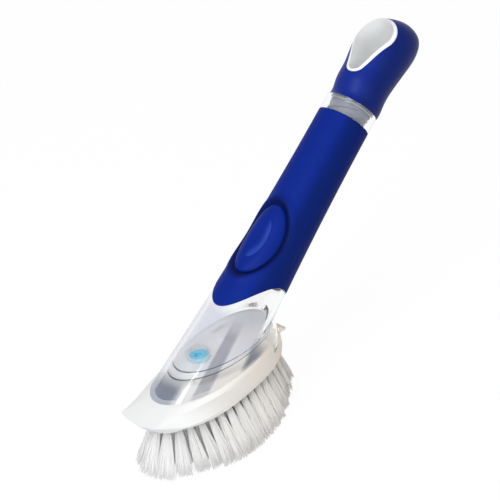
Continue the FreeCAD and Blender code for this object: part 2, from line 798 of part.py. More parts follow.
def make_head_carrier():
    wall = size("skirt_wall")
    shell = Part.makeLoft([skirt_outline(), shoulder_outline()], True, True)
    shoulder = Part.makeLoft([shoulder_outline(), ledge_outline()], True, True)
    behind = through(0, ROOM / 2, deck_level(), step_place(), ROOM)
    hollow = Part.makeLoft([skirt_outline(wall), shoulder_outline(wall)], True, True)
    hollow = hollow.cut(through(0, ROOM / 2, -ROOM / 2, step_place() - wall, ROOM))
    port = Part.makeCylinder(size("port_bore") / 2, ROOM, Vector(valve_place(), 0, -ROOM / 2))
    root = value(LATCH_ROOT) - size("latch_seat") - size("latch_slot")
    slot = through(0, latch_half(), -ROOM / 2, root, ROOM)
    carrier = shell.fuse(shoulder).cut([behind, hollow, block_plug(0), below_nose()])
    carrier = carrier.fuse(make_rail()).cut([port, slot])
    return feature_of("head_carrier", carrier.removeSplitter())


def block_of(name, low, high):
    """Box between two corners given as expressions."""
    box = doc.addObject("Part::Box", name)
    for axis, side, first, last in zip("xyz", ("Length", "Width", "Height"), low, high):
        box.setExpression(side, f"({last}) - ({first})")
        box.setExpression(f"Placement.Base.{axis}", first)
    return box


def make_latch_arm():
    """Springy arm under the heel, with a catch behind the heel and a tab to press."""
    top = "(-sizes.heel_drop - sizes.deck_gap - sizes.arm_clear)"
    low = f"({top} - sizes.latch_thick)"
    half = "sizes.latch_width / 2"
    rear = "(sizes.foot_centre + sizes.foot_length / 2)"
    catch = f"({rear} + sizes.catch_gap)"
    tab = f"({rear} + sizes.tab_out - sizes.bead_radius)"
    pieces = [
        block_of("arm_leaf", (f"{LATCH_ROOT} - sizes.latch_seat", f"-{half}", low), (tab, half, top)),
        block_of("arm_catch", (catch, f"-{half}", low),
                 (f"{catch} + sizes.catch_length", half, "sizes.catch_rise - sizes.heel_drop")),
    ]
    bead = doc.addObject("Part::Cylinder", "arm_bead")
    bead.Placement = FreeCAD.Placement(Vector(0, 0, 0), FreeCAD.Rotation(Vector(1, 0, 0), 90))
    bead.setExpression("Radius", "sizes.bead_radius")
    bead.setExpression("Height", "sizes.latch_width")
    bead.setExpression("Placement.Base.x", tab)
    bead.setExpression("Placement.Base.y", half)
    bead.setExpression("Placement.Base.z", f"({top} + {low}) / 2")
    arm = doc.addObject("Part::MultiFuse", "latch_arm")
    arm.Label = "latch_arm"
    arm.Shapes = pieces + [bead]
    arm.Refine = True
    doc.recompute()
    return arm


# Bristles

def block_low():
    return -size("block_top") - size("block_thick")


# tufts lean away from a spine between these shares of the head's length, upright when nearer than this
SPINE = (0.28, 0.75)
UPRIGHT = 0.01
# tufts nearer the edge than the first ring lean more, up to this many times
MOST_LEAN = 1.25


def lean_of(place):
    """Direction that a tuft leans, from its place on the block's lower face."""
    spine_front, spine_rear = (share_of_length(share) for share in SPINE)
    spine = min(max(place.x, spine_front), spine_rear)
    away = Vector(place.x - spine, place.y, 0)
    reach = away.Length
    if reach < UPRIGHT:
        return Vector(0, 0, -1)
    away.normalize()
    edge = size("head_half") - size("block_inset") - size("tuft_edge")
    end_lean = size("nose_lean") if away.x < 0 else size("rear_lean")
    full = size("side_lean") + (end_lean - size("side_lean")) * abs(away.x)
    lean = math.radians(full * min(reach / edge, MOST_LEAN))
    return Vector(away.x * math.sin(lean), away.y * math.sin(lean), -math.cos(lean))


def tip_level(along):
    middle = share_of_length(0.5)
    half = share_of_length(1) - middle
    return -size("trim_depth") + size("trim_rise") * ((along - middle) / half) ** 2


# tufts are tapered prisms with this many sides
TUFT_SIDES = 8


def tuft_ring(middle, lean, radius):
    turn = FreeCAD.Rotation(Vector(0, 0, 1), lean)
    angles = [2 * math.pi * side / TUFT_SIDES for side in range(TUFT_SIDES)]
    corners = [middle + turn.multVec(Vector(radius * math.cos(a), radius * math.sin(a), 0)) for a in angles]
    return Part.makePolygon(corners + corners[:1])


def tuft(place):
    """Tuft from the anchor in its hole, straight to the block's face, then spreading to its trimmed tips."""
    lean = lean_of(place)
    start = place - lean * (size("hole_depth") - size("anchor_thick") - size("hole_clear"))
    tip = place + lean * ((tip_level(place.x) - place.z) / lean.z)
    radius = size("tuft_radius")
    rings = [tuft_ring(start, lean, radius), tuft_ring(place, lean, radius),
             tuft_ring(tip, lean, size("tuft_tip_radius"))]
    return Part.makeLoft(rings, True, True)


def tuft_hole(place):
    lean = lean_of(place)
    radius = size("tuft_radius") + size("hole_clear")
    return Part.makeCylinder(radius, size("hole_depth") + 2 * radius, place - lean * size("hole_depth"), lean)


def anchor(place):
    """Wire anchor on the floor of a tuft's hole."""
    lean = lean_of(place)
    thick = size("anchor_thick")
    wide = size("anchor_width")
    wire = Part.makeBox(wide, thick, thick, Vector(-wide / 2, -thick / 2, 0))
    turn = FreeCAD.Rotation(Vector(0, 0, 1), lean)
    wire.Placement = FreeCAD.Placement(place - lean * size("hole_depth"), turn)
    return wire


def ring_places(inset):
    path = block_outline(block_low(), size("block_inset")).makeOffset2D(-inset)
    count = round(path.Length / size("tuft_pitch"))
    points = path.discretize(Number=count + 1)
    return points[:-1]


def centre_places(ring):
    """Middle row, which leaves out the tufts that would cover the soap port or touch the ring round it."""
    pitch = size("tuft_pitch")
    front, rear = (share_of_length(share) for share in SPINE)
    count = int((rear - front) / pitch)
    row = [Vector(front + step * pitch, 0, block_low()) for step in range(count + 1)]
    tip = size("tuft_tip_radius")
    clear = size("port_bore") / 2 + tip
    outlet = valve_place()
    row = [place for place in row if abs(place.x - outlet) > clear]
    apart = 2 * tip + size("tip_gap")
    return [place for place in row if min(place.distanceToPoint(other) for other in ring) > apart]


# the outer ring of tufts is one group up to the first share of the head's length and one from the second
RING_ENDS = (0.17, 0.87)


def make_tufts():
    """Places of all tufts, by the node that holds them."""
    first, second, third = (ring_places(size("tuft_edge") + step * size("ring_step")) for step in range(3))
    nose, rear = (share_of_length(share) for share in RING_ENDS)
    groups = {
        "tufts_nose": [p for p in first if p.x < nose],
        "tufts_left": [p for p in first if nose <= p.x < rear and p.y > 0],
        "tufts_right": [p for p in first if nose <= p.x < rear and p.y <= 0],
        "tufts_rear": [p for p in first if p.x >= rear],
        "tufts_second_left": [p for p in second if p.y > 0],
        "tufts_second_right": [p for p in second if p.y <= 0],
        "tufts_inner": third,
        "tufts_centre": centre_places(third),
    }
    return groups


def make_tuft_block(groups):
    block = block_flange().fuse(block_plug(size("plug_gap")))
    top = -size("block_top")
    recess = bar(value(LATCH_ROOT), ROOM, -latch_half(), latch_half(), top - size("press_room"), top)
    port = Part.makeCylinder(size("port_bore") / 2, ROOM, Vector(valve_place(), 0, -ROOM / 2))
    holes = [tuft_hole(place) for places in groups.values() for place in places]
    return feature_of("tuft_block", block.cut([recess, port] + holes))


# Assembly

tuft_groups = make_tufts()
parts = [
    make_tank_shell(), make_foot_plate(), make_outlet_valve(), make_valve_retainer(), make_grip_sleeve(),
    make_button_pad(), make_button_bellows(), make_cap_skin(), make_cap_core(), make_cap_seal(),
    make_head_carrier(), make_latch_arm(), make_tuft_block(tuft_groups),
]
for node, places in tuft_groups.items():
    parts.append(feature_of(node, Part.makeCompound([tuft(place) for place in places])))
every_place = [place for places in tuft_groups.values() for place in places]
parts.append(feature_of("tuft_anchors", Part.makeCompound([anchor(place) for place in every_place])))
doc.recompute()

# Stand the wand on its bristle tips, with the middle of its base at the origin

box = FreeCAD.BoundBox()
for part in parts:
    box.add(part.Shape.optimalBoundingBox())
stand = FreeCAD.Placement(Vector(-(box.XMin + box.XMax) / 2, 0, -box.ZMin), FreeCAD.Rotation())
for part in parts:
    part.Placement = stand.multiply(part.Placement)
doc.recompute()

# Check every object, then write the sub-parts

for item in doc.Objects:
    if "Invalid" in item.State or "Error" in item.State:
        raise RuntimeError(f"{item.Name} failed: {item.State}")
for part in parts:
    if part.Shape.isNull() or not part.Shape.isValid():
        raise RuntimeError(f"{part.Label} has no valid shape")
    corners = part.Shape.optimalBoundingBox()
    reach = [f"{low:.1f}..{high:.1f}" for low, high in
             ((corners.XMin, corners.XMax), (corners.YMin, corners.YMax), (corners.ZMin, corners.ZMax))]
    print(part.Label, len(part.Shape.Solids), f"{part.Shape.Volume:.0f} mm3", *reach)
print("stand", stand.Base)

os.makedirs("parts", exist_ok=True)
for part in parts:
    part.Shape.exportStep(os.path.join("parts", part.Label + ".step"))
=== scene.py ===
# %% [markdown]
# # A dish wand, dressed for its portrait
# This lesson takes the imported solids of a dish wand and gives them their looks: a clear tank for a
# handle, a soft blue grip with a thumb button, a blue screw cap with a white-lined hang hole, and a
# white brush head with nylon bristles. The solids say where everything is. They come in as a fixed
# frame in metres, and nothing here moves or resizes them.

# %% Load the frame
import json
import math
import random

import bpy
import bmesh
from mathutils import Matrix, Vector


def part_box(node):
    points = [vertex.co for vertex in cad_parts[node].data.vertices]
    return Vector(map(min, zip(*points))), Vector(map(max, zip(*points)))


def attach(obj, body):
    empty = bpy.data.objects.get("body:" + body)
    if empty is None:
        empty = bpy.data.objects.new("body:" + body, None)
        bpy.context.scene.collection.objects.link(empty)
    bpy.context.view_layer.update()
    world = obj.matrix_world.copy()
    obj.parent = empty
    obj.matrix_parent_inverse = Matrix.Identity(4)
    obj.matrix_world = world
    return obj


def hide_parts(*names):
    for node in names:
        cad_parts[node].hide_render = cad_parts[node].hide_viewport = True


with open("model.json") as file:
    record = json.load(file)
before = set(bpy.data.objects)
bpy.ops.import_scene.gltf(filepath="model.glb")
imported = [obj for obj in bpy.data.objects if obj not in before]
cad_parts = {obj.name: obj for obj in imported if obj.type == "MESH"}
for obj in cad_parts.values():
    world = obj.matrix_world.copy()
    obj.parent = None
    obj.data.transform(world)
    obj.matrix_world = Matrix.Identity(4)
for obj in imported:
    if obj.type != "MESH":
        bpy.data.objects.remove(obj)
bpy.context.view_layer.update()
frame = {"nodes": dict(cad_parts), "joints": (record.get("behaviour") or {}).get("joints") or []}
nodes = frame["nodes"]
joints = {joint["name"]: joint for joint in frame["joints"]}

# %% [markdown]
# ## Camera
# The wand was seen from ahead of its nose and a little to its left, from above, with the camera tilted
# so that the handle leans to the right. One could place the camera by eye, but three angles, a
# distance and a point to aim at are easier to read and to change.

# %% Place the camera
AZIMUTH = math.radians(-41.32)
ELEVATION = math.radians(31.99)
TILT = math.radians(-9.75)
DISTANCE = 0.8
AIM = Vector((-0.0198, 0.0023, 0.0883))
LENS = 110.94
SENSOR = 36
NEAREST = 0.01


def put(name, data):
    """A new object in the scene that holds this data."""
    made = bpy.data.objects.new(name, data)
    bpy.context.scene.collection.objects.link(made)
    return made


camera = put("camera", bpy.data.cameras.new("camera"))
backward = Vector((math.sin(AZIMUTH) * math.cos(ELEVATION),
                   -math.cos(AZIMUTH) * math.cos(ELEVATION),
                   math.sin(ELEVATION)))
level_right = Vector((math.cos(AZIMUTH), math.sin(AZIMUTH), 0))
level_up = backward.cross(level_right)
right = level_right * math.cos(TILT) + level_up * math.sin(TILT)
up = backward.cross(right)
turned = Matrix((right, up, backward)).transposed().to_4x4()
camera.matrix_world = Matrix.Translation(AIM + backward * DISTANCE) @ turned
camera.data.lens = LENS
camera.data.sensor_width = SENSOR
camera.data.clip_start = NEAREST
bpy.context.scene.camera = camera
print("camera at", tuple(round(x, 3) for x in camera.location))

# %% [markdown]
# ## Shader maths
# A finish is a small sum: a base value plus some noise, times a mask. Nodes can be wired by hand, but
# the sum is hard to see in the wires. So one class wraps an output socket and lets plus, minus and
# times add the Math nodes, and its one method makes any other node.

# %% A socket that can be added and multiplied
class Flow:
    """One output socket of a material, or the material itself before it has a socket."""

    def __init__(self, tree, socket=None):
        self.tree = tree
        self.socket = socket

    def node(self, kind, settings=None, sockets=None, output=0):
        made = self.tree.nodes.new(kind)
        for name, setting in (settings or {}).items():
            setattr(made, name, setting)
        for key, given in (sockets or {}).items():
            if isinstance(given, Flow):
                self.tree.links.new(given.socket, made.inputs[key])
            else:
                made.inputs[key].default_value = given
        return Flow(self.tree, made.outputs[output] if made.outputs else None)

    def math(self, operation, first, second=0.0):
        return self.node("ShaderNodeMath", {"operation": operation}, {0: first, 1: second})

    def __add__(self, other):
        return self.math("ADD", self, other)

    __radd__ = __add__

    def __mul__(self, other):
        return self.math("MULTIPLY", self, other)

    __rmul__ = __mul__

    def __sub__(self, other):
        return self.math("SUBTRACT", self, other)

    def __rsub__(self, other):
        return self.math("SUBTRACT", other, self)


# %% Helpers for colours and noise
MIX_FACTOR, MIX_FIRST, MIX_SECOND, MIX_RESULT = 0, 6, 7, 2
OBJECT_PLACE = 3
WHITE = (1.0, 1.0, 1.0, 1.0)


def rgba(code):
    """A colour written as six hex digits, as the linear numbers that shaders use."""
    parts = [int(code[i:i + 2], 16) / 255 for i in (0, 2, 4)]
    linear = [p / 12.92 if p <= 0.04045 else ((p + 0.055) / 1.055) ** 2.4 for p in parts]
    return (*linear, 1.0)


def mixed(flow, factor, first, second):
    """Colour between two colours, each written in hex digits or worked out by other nodes."""
    first, second = [rgba(colour) if isinstance(colour, str) else colour for colour in (first, second)]
    return flow.node("ShaderNodeMix", {"data_type": "RGBA"},
                     {MIX_FACTOR: factor, MIX_FIRST: first, MIX_SECOND: second}, MIX_RESULT)


def place_of(flow):
    """Point of the surface, in metres in the wand's own frame."""
    return flow.node("ShaderNodeTexCoord", output=OBJECT_PLACE)


def noise(flow, scale, detail=2.0):
    """Cloudy values round a half, with about this many clouds to the metre."""
    sockets = {"Vector": place_of(flow), "Scale": scale, "Detail": detail}
    return flow.node("ShaderNodeTexNoise", None, sockets)


def bump(flow, height, strength, distance):
    """Shading of a surface that is rough by this height."""
    sockets = {"Height": height, "Strength": strength, "Distance": distance}
    return flow.node("ShaderNodeBump", None, sockets)


def finish_of(name, recipe, **constants):
    """A material with one Principled shader: constants go on its own sockets, the recipe feeds the rest."""
    material = bpy.data.materials.new(name)
    material.use_nodes = True
    tree = material.node_tree
    shader = tree.nodes["Principled BSDF"]
    for key, constant in constants.items():
        shader.inputs[key.replace("_", " ")].default_value = constant
    for key, flow in recipe(Flow(tree)).items():
        tree.links.new(flow.socket, shader.inputs[key])
    return material


# %% [markdown]
# ## Floor, light and background
# The wand stands on a plain pale floor in a bright, soft studio. A white background could be had by
# more light, but that would bleach the white head. So camera rays, and rays that come through clear
# plastic or off gloss, see a white floor and world, while the lamps stay at a plain level.

# %% Seen-through rays
def seen_directly(flow):
    """1 for rays from the camera, off gloss or through clear plastic, and 0 for light on dull surfaces."""
    path = flow.tree.nodes.new("ShaderNodeLightPath")
    share = Flow(flow.tree, path.outputs["Is Camera Ray"])
    for kind in ("Is Glossy Ray", "Is Transmission Ray"):
        share = flow.math("MAXIMUM", share, Flow(flow.tree, path.outputs[kind]))
    return share


# %% Floor
FLOOR_SIDE = 12.0
FLOOR_DROP = 0.0002
FLOOR_GREY = (0.65, 0.65, 0.65, 1.0)
FLOOR_GLOW = 0.92
FLOOR_GLOW_LEVEL = 1.04

floor_mesh = bpy.data.meshes.new("floor")
half_side = FLOOR_SIDE / 2
floor_mesh.from_pydata([(-half_side, -half_side, 0), (half_side, -half_side, 0),
                        (half_side, half_side, 0), (-half_side, half_side, 0)], [], [(0, 1, 2, 3)])
floor = put("floor", floor_mesh)
floor.location.z = -FLOOR_DROP


def floor_finish():
    """Dull grey for the lamps' light, with the shadow in it, and glowing white for what sees it."""
    material = bpy.data.materials.new("pale_floor")
    material.use_nodes = True
    tree = material.node_tree
    tree.nodes.clear()
    flow = Flow(tree)
    dull = flow.node("ShaderNodeBsdfDiffuse", None, {"Color": FLOOR_GREY})
    glow = flow.node("ShaderNodeEmission", None, {"Color": WHITE, "Strength": FLOOR_GLOW_LEVEL})
    share = seen_directly(flow) * FLOOR_GLOW
    surface = flow.node("ShaderNodeMixShader", None, {0: share, 1: dull, 2: glow})
    flow.node("ShaderNodeOutputMaterial", None, {"Surface": surface})
    return material


floor_mesh.materials.append(floor_finish())
print("floor", FLOOR_SIDE, "m")

# %% World and lamps
WORLD_LEVEL = 0.42

world = bpy.data.worlds.new("studio")
bpy.context.scene.world = world
world.use_nodes = True
world.node_tree.nodes.clear()
sky = Flow(world.node_tree)
strength = WORLD_LEVEL + seen_directly(sky) * (1.0 - WORLD_LEVEL)
backdrop = sky.node("ShaderNodeBackground", None, {"Color": WHITE, "Strength": strength})
sky.node("ShaderNodeOutputWorld", None, {"Surface": backdrop})


def soft_box(name, place, size, power):
    """A square soft light that faces the wand."""
    lamp = bpy.data.lights.new(name, "AREA")
    lamp.size = size
    lamp.energy = power
    holder = put(name, lamp)
    holder.location = place
    holder.rotation_euler = (AIM - Vector(place)).to_track_quat("-Z", "Y").to_euler()
    return holder


key = soft_box("key", place=(-0.8, -0.2, 1.0), size=0.6, power=8.9)
fill = soft_box("fill", place=(-0.7, -0.95, 0.22), size=0.7, power=5.8)
bpy.context.scene.view_settings.view_transform = "Standard"
print("lamps", key.name, fill.name)

# %% [markdown]
# ## The handle's own frame
# The grip, the button and the cap lie round the handle's axis, so points and finishes there are measured
# by it: `along` the handle from the seat, `across` to the side and `under` towards the underside, in
# millimetres. The cap's screw joint gives the axis, and the button's slide the thumb side.

# %% Points in the handle's frame
MM = 0.001
PER_MM = 1 / MM
COLLAR_TOP = 155.7
BUTTON = 67.6
# half lengths and half widths of the thumb pad and of the dish in it
PAD_LONG, PAD_WIDE = 20.5, 11.5
DISH_LONG, DISH_WIDE = 11.8, 5.6

screw = joints["cap_turn"]
AXIS = Vector(screw["axis"]).normalized()
UNDER = Vector(joints["button_press"]["axis"]).normalized()
SIDE = AXIS.cross(UNDER)
SEAT = Vector(screw["pos_m"]) - AXIS * COLLAR_TOP * MM


def at(under, across, along):
    """Point in metres for a place in the handle's frame."""
    return SEAT + (UNDER * under + SIDE * across + AXIS * along) * MM


print("seat", tuple(round(x, 4) for x in SEAT))

# %% [markdown]
# ## Finishes
# Each finish is what the real material shows up close: a soft grip has a fine matt grain, moulded
# plastic has faint flow marks, and nylon bristles are pale and a little uneven. Noise in the wand's own
# coordinates gives that without pictures or unwrapping, and soft steps say where a tint begins.

# %% Places round and along the handle
def rise(flow, value, start, end):
    """Soft step of a value, from 0 at the start to 1 at the end."""
    ends = {"Value": value, "From Min": start, "From Max": end}
    return flow.node("ShaderNodeMapRange", {"interpolation_type": "SMOOTHSTEP"}, ends)


def in_handle(flow):
    """Millimetres across the handle, towards the thumb, and along it from the seat."""
    away = flow.node("ShaderNodeVectorMath", {"operation": "SUBTRACT"}, {0: place_of(flow), 1: SEAT})
    dot = {"operation": "DOT_PRODUCT"}
    return [flow.node("ShaderNodeVectorMath", dot, {0: away, 1: direction}, 1) * PER_MM
            for direction in (SIDE, -UNDER, AXIS)]


def round_handle(flow):
    """Degrees round the handle from its thumb side, and millimetres along it from the seat."""
    across, thumb, along = in_handle(flow)
    return flow.math("ARCTAN2", across, thumb) * math.degrees(1), along


# %% [markdown]
# ### Soft blue
# The grip, the thumb pad and the cap have a matt blue skin with a fine grain. Shade is painted into its
# colour towards the underside and in the groove round the pad, and a paler highlight is painted on the
# near wall of the pad's dish. One could paint these places, but masks from the handle's frame need no
# unwrapping.

# %% Masks round the button
# each pair says where a mask starts and where it is full; reach is 1 on the oval's edge
GROOVE_INSIDE, GROOVE_OUTSIDE = (0.95, 1.02), (1.32, 1.06)
THUMB_SIDE = (0.0, 5.0)
WALL_FOOT, WALL_EDGE = (0.1, 0.85), (1.02, 0.97)
WALL_NEAR = (0.15, -0.55)
WALL_SLANT = 0.3


def in_oval(flow, long_half, wide_half):
    """Place in an oval round the button, lengthwise and crosswise, and its reach: 1 on the oval."""
    across, _, along = in_handle(flow)
    lengthwise = (along - BUTTON) * (1 / long_half)
    crosswise = across * (1 / wide_half)
    reach = flow.math("SQRT", lengthwise * lengthwise + crosswise * crosswise)
    return lengthwise, crosswise, reach


def groove_shade_mask(flow):
    """1 where shade is painted in the groove round the thumb button, fading over the ridge outside it."""
    _, thumb, _ = in_handle(flow)
    _, _, reach = in_oval(flow, PAD_LONG, PAD_WIDE)
    ring = rise(flow, reach, *GROOVE_INSIDE) * rise(flow, reach, *GROOVE_OUTSIDE)
    return ring * rise(flow, thumb, *THUMB_SIDE)


def dish_highlight_mask(flow):
    """1 on the near wall of the thumb dish, where a highlight is painted."""
    lengthwise, crosswise, reach = in_oval(flow, DISH_LONG, DISH_WIDE)
    near = rise(flow, crosswise + WALL_SLANT * lengthwise, *WALL_NEAR)
    return near * rise(flow, reach, *WALL_FOOT) * rise(flow, reach, *WALL_EDGE)


# %% Soft blue grip, thumb pad and cap
# the grip's blue, and the darker blue of the painted shade towards the underside
GRIP_BLUE, GRIP_SHADE_BLUE = "092686", "071E66"
# darker blue of the painted shade in the groove, and how strongly it is painted
GROOVE_SHADE_BLUE, GROOVE_SHADE = "040F3E", 0.8
# paler blue of the painted highlight on the dish wall, and how strongly it is painted
DISH_HIGHLIGHT_BLUE, DISH_HIGHLIGHT_SHARE = "2C4AB0", 0.8
# degrees round from the thumb side where the painted underside shade starts and is full, and its share
# against cloudy tone
UNDERSIDE_SHADE = (30.0, 62.0)
UNDERSIDE_SHADE_SHARE = 0.9
UNEVEN_GLOSS = 0.12
GRIP_GRAIN, CAP_GRAIN = 2600.0, 2200.0
GRIP_IOR, CAP_IOR = 1.15, 1.22


def rubber(grain, rough):
    """Soft blue with shade painted towards the underside and in the groove."""
    def recipe(flow):
        angle, _ = round_handle(flow)
        # painted shade: the blue darkens round towards the underside, with a little cloudy tone mixed in
        deep = rise(flow, flow.math("ABSOLUTE", angle), *UNDERSIDE_SHADE)
        cloud = noise(flow, scale=90.0, detail=3.0)
        depth = deep * UNDERSIDE_SHADE_SHARE + cloud * (1 - UNDERSIDE_SHADE_SHARE)
        plain = mixed(flow, depth, GRIP_BLUE, GRIP_SHADE_BLUE)
        return {
            # painted shade in the groove round the pad
            "Base Color": mixed(flow, GROOVE_SHADE * groove_shade_mask(flow), plain, GROOVE_SHADE_BLUE),
            "Roughness": rough + UNEVEN_GLOSS * noise(flow, scale=350.0),
            "Normal": bump(flow, noise(flow, grain), strength=0.25, distance=0.06 * MM),
        }
    return recipe


def thumb_recipe(flow):
    """The grip's blue, with a paler painted highlight on the near wall of the dish."""
    made = rubber(GRIP_GRAIN, rough=0.4)(flow)
    # painted highlight on the near wall of the dish
    made["Base Color"] = mixed(flow, DISH_HIGHLIGHT_SHARE * dish_highlight_mask(flow), made["Base Color"], DISH_HIGHLIGHT_BLUE)
    return made


soft_grip = finish_of("soft_grip", rubber(GRIP_GRAIN, rough=0.5), IOR=GRIP_IOR)
thumb_soft = finish_of("thumb_soft", thumb_recipe, IOR=GRIP_IOR)
blue_cap = finish_of("blue_cap", rubber(CAP_GRAIN, rough=0.38), IOR=CAP_IOR)
print("soft finishes", soft_grip.name, thumb_soft.name, blue_cap.name)

# %% [markdown]
# ### Clear plastic
# The tank is clear, and its thick foot shows a grey streak, a faint rail at its far edge, and a dark
# toe and heel. A room full of things to mirror would give those reflections, but a plain studio has none,
# so they are painted as tints of the plastic. A path tracer rarely finds a lamp through bent light, and
# what is inside or behind a clear piece would be too dark, so shadow rays and soft light pass straight
# through it.

# %% Clear plastic of the tank
CLEAR_IOR = 1.49
CLEAR_PALE, CLEAR_WHITE = "F8FAFC", "FFFFFF"
# tints of the painted reflections: a pale rail, a grey streak, and a dark toe and heel
RAIL_REFLECTION_TINT, STREAK_REFLECTION_TINT, DARK_REFLECTION_TINT = "DCDDEA", "B9BAC6", "6F7C92"
REFLECTION_TINT_SHARE = 0.9
# millimetres along the handle, and degrees round it, where each painted reflection starts and is full
FOOT_ALONG = (26.0, 12.0)
STREAK_LEFT, STREAK_RIGHT = (-60.0, -55.0), (-37.0, -42.0)
HEEL_ROUND = (-92.0, -98.0)
TOE_ALONG, TOE_ROUND = (-13.0, -24.0), (-28.0, -14.0)
RAIL_ALONG, RAIL_ROUND = (34.0, 24.0), (22.0, 40.0)


def clear_recipe(flow):
    """Clear, with painted reflections: a grey streak down the foot, a faint rail at its far edge, and a
    dark toe and heel.
    """
    angle, along = round_handle(flow)
    in_foot = rise(flow, along, *FOOT_ALONG)
    streak = in_foot * rise(flow, angle, *STREAK_LEFT) * rise(flow, angle, *STREAK_RIGHT)
    heel = in_foot * rise(flow, angle, *HEEL_ROUND)
    toe = rise(flow, along, *TOE_ALONG) * rise(flow, angle, *TOE_ROUND)
    rail = rise(flow, along, *RAIL_ALONG) * rise(flow, angle, *RAIL_ROUND)
    plain = mixed(flow, noise(flow, scale=55.0, detail=4.0), CLEAR_PALE, CLEAR_WHITE)
    # painted reflections mixed into the clear colour
    railed = mixed(flow, rail, plain, RAIL_REFLECTION_TINT)
    streaked = mixed(flow, REFLECTION_TINT_SHARE * streak, railed, STREAK_REFLECTION_TINT)
    return {
        "Base Color": mixed(flow, REFLECTION_TINT_SHARE * flow.math("MAXIMUM", heel, toe), streaked, DARK_REFLECTION_TINT),
        "Roughness": 0.015 + 0.03 * noise(flow, scale=140.0, detail=3.0),
    }


def let_light_in(material, passed=1.0):
    """This share of the lamps' light and of soft light passes straight through, to light what is behind."""
    tree = material.node_tree
    flow = Flow(tree)
    path = tree.nodes.new("ShaderNodeLightPath")
    film = flow.node("ShaderNodeBsdfTransparent", None, {"Color": (passed, passed, passed, 1)})
    surface = Flow(tree, tree.nodes["Principled BSDF"].outputs[0])
    for kind in ("Is Shadow Ray", "Is Diffuse Ray"):
        ray = Flow(tree, path.outputs[kind])
        surface = flow.node("ShaderNodeMixShader", None, {0: ray, 1: surface, 2: film})
    tree.links.new(surface.socket, tree.nodes["Material Output"].inputs["Surface"])


clear_plastic = finish_of("clear_plastic", clear_recipe, Transmission_Weight=1.0, IOR=CLEAR_IOR)
let_light_in(clear_plastic)
print("clear finish", clear_plastic.name)

# %% [markdown]
# ### Rim of the tank's floor
# The floor is a clear plate, and through the tank its two sharp edges show as thin dark arcs. Real
# refraction would lose them in so small a picture, so the rim has them painted on, as two dark lines.

# %% Two painted dark lines round the floor
PLATE_TOP, PLATE_LOW = 8.0, 5.4
RIM_EDGE = 0.5
RIM_CLEAR, RIM_PAINTED_DARK = "F3F5F7", "2A3442"


def rim_recipe(flow):
    """Clear like the floor, with painted dark lines where its two sharp edges would show through the tank.
    """
    up_place = flow.node("ShaderNodeSeparateXYZ", None, {0: place_of(flow)}, 2)
    height = (up_place - SEAT.z) * PER_MM
    # painted dark lines at the plate's two sharp edges, standing in for refraction
    upper = rise(flow, height, PLATE_TOP - RIM_EDGE, PLATE_TOP - RIM_EDGE / 2)
    lower = rise(flow, height, PLATE_LOW + RIM_EDGE, PLATE_LOW + RIM_EDGE / 2)
    return {
        "Base Color": mixed(flow, flow.math("MAXIMUM", upper, lower), RIM_CLEAR, RIM_PAINTED_DARK),
        "Roughness": 0.2 + 0.1 * noise(flow, scale=200.0),
    }


floor_rim = finish_of("floor_rim", rim_recipe, Transmission_Weight=0.6, IOR=CLEAR_IOR)
print("rim finish", floor_rim.name)

# %% [markdown]
# ### White plastic and nylon
# The head is moulded in a cool white that turns creamy towards its rear, and its nylon bristles do the
# same. The lining of the hang hole is a plainer white, and its spigot looks grey through the collar.
# One white for all would be simpler, but the pieces would then run together.

# %% White plastic of the head and the lining
NOSE_PLACE, REAR_PLACE = -0.117, -0.015
HEAD_COOL, HEAD_CREAM, FLOW_MARK = "EFF1F2", "F4EADD", "DCD8D0"
FLOW_MARK_SHARE = 0.1
LINING_DIM, LINING_WHITE, SPIGOT_GREY = "F6F8F9", "FBFCFC", "7C828F"
SPIGOT_FADE = 0.6


def along_head(flow):
    """0 at the head's nose and 1 at its rear."""
    apart = flow.node("ShaderNodeSeparateXYZ", None, {0: place_of(flow)})
    return rise(flow, apart, NOSE_PLACE, REAR_PLACE)


def moulded(flow, colour):
    """Plastic of this colour with the faintly uneven gloss that a mould leaves."""
    return {
        "Base Color": colour,
        "Roughness": 0.33 + 0.15 * noise(flow, scale=260.0),
        "Normal": bump(flow, noise(flow, scale=1500.0), strength=0.12, distance=0.05 * MM),
    }


def head_white(flow):
    """Cool white at the nose that turns creamy towards the rear, with faint flow marks."""
    plain = mixed(flow, along_head(flow), HEAD_COOL, HEAD_CREAM)
    marks = FLOW_MARK_SHARE * noise(flow, scale=45.0, detail=3.0)
    return moulded(flow, mixed(flow, marks, plain, FLOW_MARK))


def lining_recipe(flow):
    """White lining of the hang hole, and the grey spigot that shows through the collar."""
    _, along = round_handle(flow)
    plain = mixed(flow, noise(flow, scale=45.0, detail=3.0), LINING_DIM, LINING_WHITE)
    spigot = rise(flow, along, COLLAR_TOP + SPIGOT_FADE, COLLAR_TOP)
    return moulded(flow, mixed(flow, spigot, plain, SPIGOT_GREY))


white_plastic = finish_of("white_plastic", head_white, Specular_IOR_Level=0.4)
lining_white = finish_of("lining_white", lining_recipe, Specular_IOR_Level=0.5)
print("white finishes", white_plastic.name, lining_white.name)

# %% Nylon
NYLON_COOL, NYLON_CREAM, NYLON_DIM = "FAFBFB", "F3EEE9", "DEDAD6"
NYLON_DIM_SHARE = 0.2
NYLON_IOR = 1.3
NYLON_PASSES = 0.95


def nylon(flow):
    """Pale filaments, a little uneven, that turn creamy with the head."""
    plain = mixed(flow, along_head(flow), NYLON_COOL, NYLON_CREAM)
    tone = NYLON_DIM_SHARE * noise(flow, scale=600.0, detail=1.0)
    return {
        "Base Color": mixed(flow, tone, plain, NYLON_DIM),
        "Roughness": 0.3 + 0.2 * noise(flow, scale=900.0),
    }


bristle = finish_of("bristle", nylon, Specular_IOR_Level=0.3, Transmission_Weight=0.15, IOR=NYLON_IOR)
let_light_in(bristle, NYLON_PASSES)
print("nylon finish", bristle.name)

